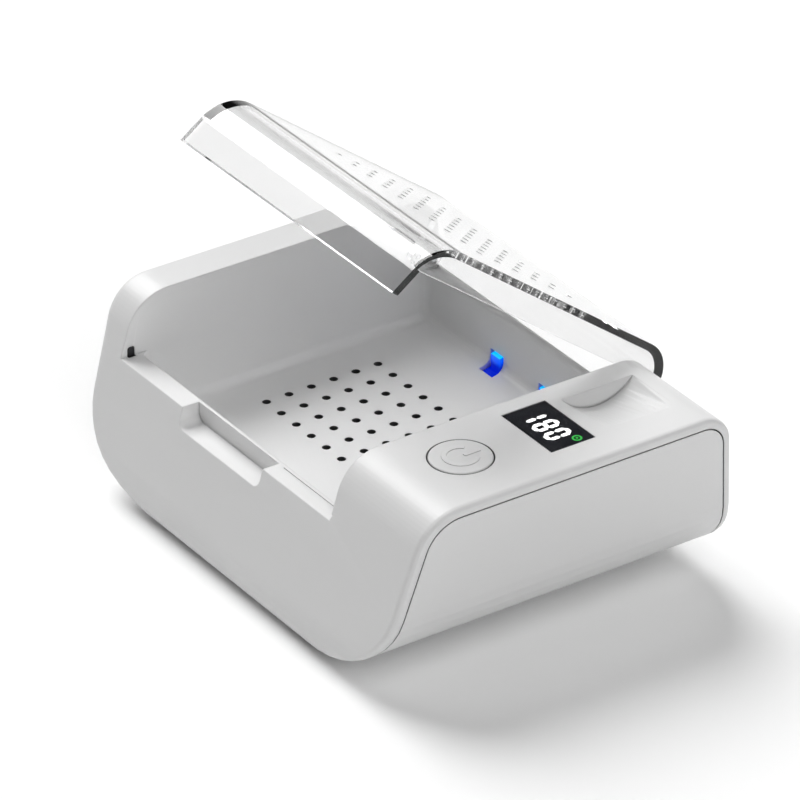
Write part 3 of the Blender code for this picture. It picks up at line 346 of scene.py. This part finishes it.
WHITE = moulded("shell_white", (0.80, 0.80, 0.80), gloss=0.42, corner=0.5 * MM)
BUTTON_WHITE = moulded("button_white", (0.80, 0.80, 0.80), gloss=0.42, corner=0.12 * MM)
COVER_WHITE = moulded("cover_white", (0.76, 0.76, 0.76), gloss=0.5, corner=0.6 * MM)
BLACK = moulded("black_plastic", (0.025, 0.025, 0.028), gloss=0.5, depth=0.00002)
CHIP = moulded("chip_black", (0.03, 0.03, 0.032), gloss=0.55)
RUBBER = moulded("foot_rubber", (0.09, 0.09, 0.095), gloss=0.75, grain=1500.0, depth=0.00004, strength=0.5)
CERAMIC = moulded("capacitor_tan", (0.42, 0.31, 0.19), gloss=0.5)
HEATER = moulded("heater_ceramic", (0.045, 0.04, 0.035), gloss=0.6, depth=0.00003)
STEEL = metal("steel", (0.60, 0.61, 0.63))
MASK = board_mask("board_green", (0.02, 0.17, 0.08))
LENS_DARK = moulded("lens_dark", (0.022, 0.023, 0.028), gloss=0.08, depth=0.000001, strength=0.05, drift=0.2,
                    edge_highlight=0.0)
CLEAR = clear_plastic("lid_clear", (0.93, 0.93, 0.93), 0.35)
BLUE = glowing_guide("guide_blue")
LAMP = lit("lamp_violet", (0.25, 0.35, 1.0), 3.0)
DIGIT = lit("digit_white", (1.0, 1.0, 1.0), 1.05)
GREEN = lit("lamp_green", (0.01, 0.30, 0.03), 0.9)
# Painted shadow round the digits: a black sheet a little wider than the segments, just under them.
DIGIT_SHADOW = moulded("digit_painted_shadow", (0.003, 0.003, 0.003), gloss=0.3, depth=0.000001)


def inside_box(tree, low, high):
    """1 inside an upright box of the model, 0 outside."""
    coords = tree.nodes.new("ShaderNodeTexCoord")
    place = tree.nodes.new("ShaderNodeSeparateXYZ")
    tree.links.new(coords.outputs["Object"], place.inputs[0])
    inside = 1.0
    for axis, least, most in zip("XYZ", low, high):
        above = math_node(tree, "GREATER_THAN", place.outputs[axis], least)
        below = math_node(tree, "LESS_THAN", place.outputs[axis], most)
        inside = math_node(tree, "MULTIPLY", math_node(tree, "MULTIPLY", above, below), inside)
    return inside


def paint_vent_shade(made):
    """Painted shade: the walls of the floor's holes go dark below the floor's face."""
    tree = made.node_tree
    shader = tree.nodes["Principled BSDF"]
    color = shader.inputs["Base Color"].links[0].from_socket
    vent_shade_mask = inside_box(tree, *VENT_SHADE_FIELD)
    # Painted shade colour for the hole walls.
    tree.links.new(mix_color(tree, vent_shade_mask, color, (0.05, 0.05, 0.05, 1)), shader.inputs["Base Color"])


paint_vent_shade(WHITE)


def dress(node, surface):
    NODES[node].data.materials.clear()
    NODES[node].data.materials.append(surface)


for name in NODES:
    if name in ("upper_housing", "side_panel"):
        dress(name, WHITE)
    elif name == "power_button":
        dress(name, BUTTON_WHITE)
    elif name == "base_cover":
        dress(name, COVER_WHITE)
    elif name.startswith(("cover_screw", "board_screw", "fan_screw", "hinge_pin")) or name == "power_socket":
        dress(name, STEEL)
    elif name.startswith("foot"):
        dress(name, RUBBER)
    elif name in ("control_board", "lamp_board"):
        dress(name, MASK)
    elif name.startswith("board_capacitor"):
        dress(name, CERAMIC)
    elif name == "processor_chip":
        dress(name, CHIP)
    elif name == "heater_plate":
        dress(name, HEATER)
    elif name == "display_lens":
        dress(name, LENS_DARK)
    elif name == "lid_cover":
        dress(name, CLEAR)
    elif name.startswith("light_guide"):
        dress(name, BLUE)
    elif name.startswith("uv_lamp"):
        dress(name, LAMP)
    else:
        dress(name, BLACK)


# Mesh helpers

def piece_from(name, work, surface, body):
    mesh = bpy.data.meshes.new(name)
    bmesh.ops.recalc_face_normals(work, faces=work.faces)
    work.to_mesh(mesh)
    work.free()
    mesh.materials.append(surface)
    obj = bpy.data.objects.new(name, mesh)
    bpy.context.scene.collection.objects.link(obj)
    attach(obj, body)
    return obj


def add_slab(work, outline, low, high):
    """Flat outline (x, y) made a closed slab between two heights."""
    bottom = [work.verts.new((x, y, low)) for x, y in outline]
    top = [work.verts.new((x, y, high)) for x, y in outline]
    work.faces.new(list(reversed(bottom)))
    work.faces.new(top)
    for i in range(len(outline)):
        k = (i + 1) % len(outline)
        work.faces.new((bottom[i], bottom[k], top[k], top[i]))


def ring_outline(centre, radius, count):
    return [
        (centre[0] + radius * math.cos(math.tau * i / count), centre[1] + radius * math.sin(math.tau * i / count))
        for i in range(count)
    ]


# Lid: drawn shut, (y, z) in the sizes' own frame, then turned about its hinge to rest

SIZES_ZERO = Vector((-62.0, -28.768863, 45.0)) * MM
HINGE = (70.0 * MM, -13.0 * MM)
LID_OPEN = math.radians(37.4)
LID_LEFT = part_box("lid_cover")[0].x
LID_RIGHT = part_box("lid_cover")[1].x
LID_WALL = 1.8 * MM
LID_EDGE_R = 0.4 * MM
LID_EDGE_STEPS = 5
LID_SHARP = math.radians(35)
LIP_ARC = (0.8 * MM, -11.1 * MM, 11.1 * MM)
LIP_SLOPE = math.radians(17.0)
LIP_BOTTOM = -14.0 * MM
BACK_ARC = (63.8 * MM, -7.9 * MM, 7.9 * MM)
BACK_SLOPE = math.radians(5.14)
BACK_BOTTOM = -13.9 * MM
SKIRT_BOTTOM = -7.4 * MM
SKIRT_BACK = 66.0 * MM
EAR_R = 2.7 * MM
EAR_THICK = 2.2 * MM
EAR_IN = 0.3 * MM
EAR_HOLE_R = 1.2 * MM
LID_VENTS = (10, 6)
LID_VENT_PITCH = 6.0 * MM
LID_VENT_FRONT = 18.1 * MM
LID_VENT_R = 0.8 * MM
EAR_SIDES = 48
EAR_HOLE_SIDES = 32
LID_VENT_SIDES = 24
LIP_STEPS = 96
BACK_STEPS = 64


def arc_points(arc, inset, start, end, steps):
    y, z, radius = arc
    angles = [start + (end - start) * i / steps for i in range(steps + 1)]
    return [(y + (radius - inset) * math.cos(a), z + (radius - inset) * math.sin(a)) for a in angles]


def lip_points(inset, top=math.pi / 2):
    """From the lip's bottom edge up its slope and round its arc."""
    points = arc_points(LIP_ARC, inset, math.pi - LIP_SLOPE, top, LIP_STEPS)
    y, z = points[0]
    return [(y - (z - LIP_BOTTOM) * math.tan(LIP_SLOPE), LIP_BOTTOM)] + points


def back_points(inset):
    """Round the rear arc and down to the rear edge."""
    points = arc_points(BACK_ARC, inset, math.pi / 2, BACK_SLOPE, BACK_STEPS)
    y, z = points[-1]
    return points + [(y + (z - BACK_BOTTOM) * math.tan(BACK_SLOPE), BACK_BOTTOM)]


def lid_shell():
    """Closed shell: arched plate, side skirts, front lip and rear flange."""
    outer = lip_points(0) + back_points(0)
    skirt_turn = math.pi - math.asin((SKIRT_BOTTOM - LIP_ARC[1]) / (LIP_ARC[2] - LID_WALL))
    lip_inside = lip_points(LID_WALL, skirt_turn)
    top_inside = arc_points(LIP_ARC, LID_WALL, skirt_turn, math.pi / 2, LIP_STEPS) + back_points(LID_WALL)
    front_foot, skirt_front = lip_inside[0], lip_inside[-1]
    back_foot = top_inside[-1]
    corner_high, corner_low = (SKIRT_BACK, SKIRT_BOTTOM), (SKIRT_BACK, BACK_BOTTOM)
    stations = [LID_LEFT, LID_LEFT + LID_WALL, LID_RIGHT - LID_WALL, LID_RIGHT]
    work = bmesh.new()

    def strip(points, spans):
        for x0, x1 in spans:
            for (y0, z0), (y1, z1) in zip(points, points[1:]):
                corners = ((x0, y0, z0), (x1, y0, z0), (x1, y1, z1), (x0, y1, z1))
                work.faces.new([work.verts.new(corner) for corner in corners])

    across = list(zip(stations, stations[1:]))
    walls = [across[0], across[2]]
    strip(outer, across)
    strip([outer[0], front_foot], across)
    strip(lip_inside, across)
    strip(top_inside, [across[1]])
    strip([skirt_front, corner_high], walls)
    strip([corner_high, corner_low], walls)
    strip([corner_low, back_foot], walls)
    strip([back_foot, outer[-1]], across)
    end = outer + [back_foot, corner_low, corner_high] + list(reversed(lip_inside))
    inner_end = top_inside + [corner_low, corner_high]
    for x, outline in zip(stations, (end, inner_end, inner_end, end)):
        work.faces.new([work.verts.new((x, y, z)) for y, z in outline])
    bmesh.ops.remove_doubles(work, verts=work.verts, dist=0.001 * MM)
    bmesh.ops.recalc_face_normals(work, faces=work.faces)
    sharp = [edge for edge in work.edges if edge.calc_face_angle(0) > LID_SHARP]
    bmesh.ops.bevel(work, geom=sharp, offset=LID_EDGE_R, segments=LID_EDGE_STEPS, profile=0.5, affect="EDGES",
                    clamp_overlap=True)
    return work


def add_rod(work, centre, radius, length, axis, count):
    """Closed rod centred on a point, along X or Z."""
    turn = Matrix.Rotation(math.pi / 2, 4, "Y") if axis == "X" else Matrix.Identity(4)
    bmesh.ops.create_cone(work, cap_ends=True, segments=count, radius1=radius, radius2=radius, depth=length,
                          matrix=Matrix.Translation(centre) @ turn)


def scratch_object(name, work):
    mesh = bpy.data.meshes.new(name)
    work.to_mesh(mesh)
    work.free()
    obj = bpy.data.objects.new(name, mesh)
    bpy.context.scene.collection.objects.link(obj)
    return obj


def combine(target, tool, operation):
    step = target.modifiers.new(operation, "BOOLEAN")
    step.operation = operation
    step.solver = "EXACT"
    step.object = tool


def make_lid():
    body = scratch_object("lid_body", lid_shell())
    ears, cuts = bmesh.new(), bmesh.new()
    for x, inward in ((LID_LEFT + EAR_THICK / 2, 1), (LID_RIGHT - EAR_THICK / 2, -1)):
        add_rod(ears, (x + inward * EAR_IN / 2, *HINGE), EAR_R, EAR_THICK - EAR_IN, "X", EAR_SIDES)
        add_rod(cuts, (x, *HINGE), EAR_HOLE_R, EAR_THICK * 2, "X", EAR_HOLE_SIDES)
    across, deep = LID_VENTS
    first = (LID_LEFT + LID_RIGHT - LID_VENT_PITCH * (across - 1)) / 2
    for i in range(across):
        for j in range(deep):
            centre = (first + LID_VENT_PITCH * i, LID_VENT_FRONT + LID_VENT_PITCH * j, -LID_WALL / 2)
            add_rod(cuts, centre, LID_VENT_R, LID_WALL * 2, "Z", LID_VENT_SIDES)
    ears, cuts = scratch_object("lid_ears", ears), scratch_object("lid_cuts", cuts)
    combine(body, ears, "UNION")
    combine(body, cuts, "DIFFERENCE")
    bpy.context.view_layer.update()
    mesh = bpy.data.meshes.new_from_object(body.evaluated_get(bpy.context.evaluated_depsgraph_get()))
    for used in (body, ears, cuts):
        bpy.data.objects.remove(used)
    work = bmesh.new()
    work.from_mesh(mesh)
    bpy.data.meshes.remove(mesh)
    pivot = Matrix.Translation(Vector((0, *HINGE)))
    shift = Matrix.Translation(Vector((0, SIZES_ZERO.y, SIZES_ZERO.z)))
    opened = shift @ pivot @ Matrix.Rotation(-LID_OPEN, 4, "X") @ pivot.inverted()
    bmesh.ops.transform(work, matrix=opened, verts=work.verts)
    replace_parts(piece_from("clear_lid", work, CLEAR, "lid"), "lid_cover")


make_lid()


# Display

LENS_LOW, LENS_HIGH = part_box("display_lens")
FACE = LENS_HIGH.z
DIGIT_TALL = 6.5 * MM
DIGIT_WIDE = 3.3 * MM
STROKE = 1.05 * MM
DIGIT_V = 5.5 * MM
DIGIT_END_GAP = 0.05 * MM
DIGIT_PLACES = (("1", 4.2 * MM), ("8", 8.8 * MM), ("0", 13.1 * MM))
DIGIT_RISE = 0.03 * MM
DIGIT_SHADOW_RISE = 0.01 * MM
DIGIT_SHADOW_GROW = 0.55 * MM
LENS_GAP = 0.2 * MM
LAMP_PLACE = (16.8 * MM, 8.0 * MM)
LAMP_OUTER_R = 1.15 * MM
LAMP_INNER_R = 0.72 * MM
LAMP_DOT_R = 0.3 * MM
LAMP_SIDES = 32
LAMP_DOT_SIDES = 16
SEGMENTS = {"1": "bc", "8": "abcdefg", "0": "abcdef"}


def segment_outline(start, end, stroke, gap):
    """Bar with pointed ends between two corner points."""
    along = (end - start).normalized()
    side = Vector((-along.y, along.x)) * stroke / 2
    start = start + along * gap
    end = end - along * gap
    bite = along * stroke / 2
    return [start, start + bite - side, end - bite - side, end, end - bite + side, start + bite + side]


def add_digit(work, label, middle, high, grow=0.0):
    wide, tall = (DIGIT_WIDE - STROKE) / 2, (DIGIT_TALL - STROKE) / 2
    corners = {
        "tl": Vector((-wide, tall)), "tr": Vector((wide, tall)),
        "ml": Vector((-wide, 0)), "mr": Vector((wide, 0)),
        "bl": Vector((-wide, -tall)), "br": Vector((wide, -tall)),
    }
    bars = {"a": "tltr", "b": "trmr", "c": "mrbr", "d": "blbr", "e": "mlbl", "f": "tlml", "g": "mlmr"}
    for key in SEGMENTS[label]:
        first, last = corners[bars[key][:2]] + middle, corners[bars[key][2:]] + middle
        outline = segment_outline(first, last, STROKE + grow, DIGIT_END_GAP - grow / 2)
        add_slab(work, [tuple(point) for point in outline], FACE, high)


def make_display():
    corner = Vector((LENS_LOW.x - LENS_GAP, LENS_LOW.y - LENS_GAP))
    digits, digit_shadows = bmesh.new(), bmesh.new()
    for label, along in DIGIT_PLACES:
        add_digit(digits, label, corner + Vector((along, DIGIT_V)), FACE + DIGIT_RISE)
        # Painted shadow: each digit again, grown wider, in black under the lit one.
        add_digit(digit_shadows, label, corner + Vector((along, DIGIT_V)), FACE + DIGIT_SHADOW_RISE, DIGIT_SHADOW_GROW)
    piece_from("display_digits", digits, DIGIT, "base")
    piece_from("digit_shadow_sheet", digit_shadows, DIGIT_SHADOW, "base")
    lamp = bmesh.new()
    centre = corner + Vector(LAMP_PLACE)
    outer, inner = (ring_outline(centre, radius, LAMP_SIDES) for radius in (LAMP_OUTER_R, LAMP_INNER_R))
    low = [lamp.verts.new((x, y, FACE)) for x, y in outer]
    high = [lamp.verts.new((x, y, FACE + DIGIT_RISE)) for x, y in outer]
    low_in = [lamp.verts.new((x, y, FACE)) for x, y in inner]
    high_in = [lamp.verts.new((x, y, FACE + DIGIT_RISE)) for x, y in inner]
    for i in range(LAMP_SIDES):
        k = (i + 1) % LAMP_SIDES
        lamp.faces.new((low[i], low[k], high[k], high[i]))
        lamp.faces.new((high[i], high[k], high_in[k], high_in[i]))
        lamp.faces.new((low_in[k], low_in[i], high_in[i], high_in[k]))
        lamp.faces.new((low[k], low[i], low_in[i], low_in[k]))
    add_slab(lamp, ring_outline(centre, LAMP_DOT_R, LAMP_DOT_SIDES), FACE, FACE + DIGIT_RISE)
    piece_from("mode_lamp", lamp, GREEN, "base")


make_display()


# Dark pad in the catch pocket at the chamber's front left

PAD_MIDDLE = (-9.1 * MM, -13.8 * MM)
PAD_HALF = (0.75 * MM, 1.5 * MM)
PAD_X = (8.75 * MM, 9.7 * MM)
PAD_SIDES = 32


def make_catch_pad():
    work = bmesh.new()
    outline = []
    for i in range(PAD_SIDES):
        turn = math.tau * (i + 0.5) / PAD_SIDES
        lift = (PAD_HALF[1] - PAD_HALF[0]) * (1 if math.sin(turn) > 0 else -1)
        y = PAD_MIDDLE[0] + PAD_HALF[0] * math.cos(turn)
        z = PAD_MIDDLE[1] + PAD_HALF[0] * math.sin(turn) + lift
        outline.append((y, z))
    add_slab(work, outline, *PAD_X)
    for vert in work.verts:
        y, z, x = vert.co
        vert.co = Vector((x, y, z)) + SIZES_ZERO
    piece_from("catch_pad", work, BLACK, "base")


make_catch_pad()


# Studio

FLOOR_HALF = 6.0
FLOOR_GLOW = 0.06
ROOM_LIGHT = 0.05
WHITE_BELOW = 0.15
DIM_ABOVE = 0.35


def make_floor():
    mesh = bpy.data.meshes.new("studio_floor")
    half = FLOOR_HALF
    corners = [(-half, -half, 0), (half, -half, 0), (half, half, 0), (-half, half, 0)]
    mesh.from_pydata(corners, [], [(0, 1, 2, 3)])
    floor = bpy.data.objects.new("studio_floor", mesh)
    bpy.context.scene.collection.objects.link(floor)
    made = bpy.data.materials.new("studio_floor")
    made.use_nodes = True
    tree = made.node_tree
    tree.nodes.clear()
    out = tree.nodes.new("ShaderNodeOutputMaterial")
    matte = tree.nodes.new("ShaderNodeBsdfDiffuse")
    glow = tree.nodes.new("ShaderNodeEmission")
    path = tree.nodes.new("ShaderNodeLightPath")
    seen = math_node(tree, "MAXIMUM", path.outputs["Is Camera Ray"], path.outputs["Is Transmission Ray"])
    seen = math_node(tree, "MAXIMUM", seen, path.outputs["Is Glossy Ray"])
    tree.links.new(mix_color(tree, seen, (0.90, 0.90, 0.90, 1), (1, 1, 1, 1)), matte.inputs["Color"])
    tree.links.new(math_node(tree, "MULTIPLY", seen, FLOOR_GLOW), glow.inputs["Strength"])
    both = tree.nodes.new("ShaderNodeAddShader")
    tree.links.new(matte.outputs[0], both.inputs[0])
    tree.links.new(glow.outputs[0], both.inputs[1])
    tree.links.new(both.outputs[0], out.inputs["Surface"])
    mesh.materials.append(made)


def make_world():
    """Even fill for the object; white to the camera, and white low down, dim high up, in gloss and glass."""
    world = bpy.data.worlds.new("studio")
    bpy.context.scene.world = world
    world.use_nodes = True
    tree = world.node_tree
    tree.nodes.clear()
    out = tree.nodes.new("ShaderNodeOutputWorld")
    room = tree.nodes.new("ShaderNodeBackground")
    path = tree.nodes.new("ShaderNodeLightPath")
    coords = tree.nodes.new("ShaderNodeTexCoord")
    split = tree.nodes.new("ShaderNodeSeparateXYZ")
    tree.links.new(coords.outputs["Generated"], split.inputs[0])
    low = tree.nodes.new("ShaderNodeMapRange")
    low.inputs["From Min"].default_value = DIM_ABOVE
    low.inputs["From Max"].default_value = WHITE_BELOW
    tree.links.new(split.outputs["Z"], low.inputs["Value"])
    clear = math_node(tree, "MAXIMUM", path.outputs["Is Glossy Ray"], path.outputs["Is Transmission Ray"])
    clear = math_node(tree, "MULTIPLY", clear, low.outputs["Result"])
    white = math_node(tree, "MAXIMUM", path.outputs["Is Camera Ray"], clear)
    strength = math_node(tree, "ADD", math_node(tree, "MULTIPLY", white, 1.0 - ROOM_LIGHT), ROOM_LIGHT)
    room.inputs["Color"].default_value = (1, 1, 1, 1)
    tree.links.new(strength, room.inputs["Strength"])
    tree.links.new(room.outputs[0], out.inputs["Surface"])


def add_sun(name, azimuth, elevation, strength, angle):
    """Lamp from an azimuth, 0 in front and 90 on the right, and an elevation, in degrees."""
    data = bpy.data.lights.new(name, "SUN")
    data.energy = strength
    data.angle = math.radians(angle)
    turn, rise = math.radians(azimuth), math.radians(elevation)
    aim = Vector((math.sin(turn) * math.cos(rise), -math.cos(turn) * math.cos(rise), math.sin(rise)))
    lamp = bpy.data.objects.new(name, data)
    lamp.rotation_mode = "QUATERNION"
    lamp.rotation_quaternion = (-aim).to_track_quat("-Z", "Y")
    bpy.context.scene.collection.objects.link(lamp)


make_floor()
make_world()
add_sun("left", 265, 49, 2.8, 42)
add_sun("right", 90, 45, 1.2, 50)
place_camera()
bpy.context.scene.view_settings.view_transform = "Standard"
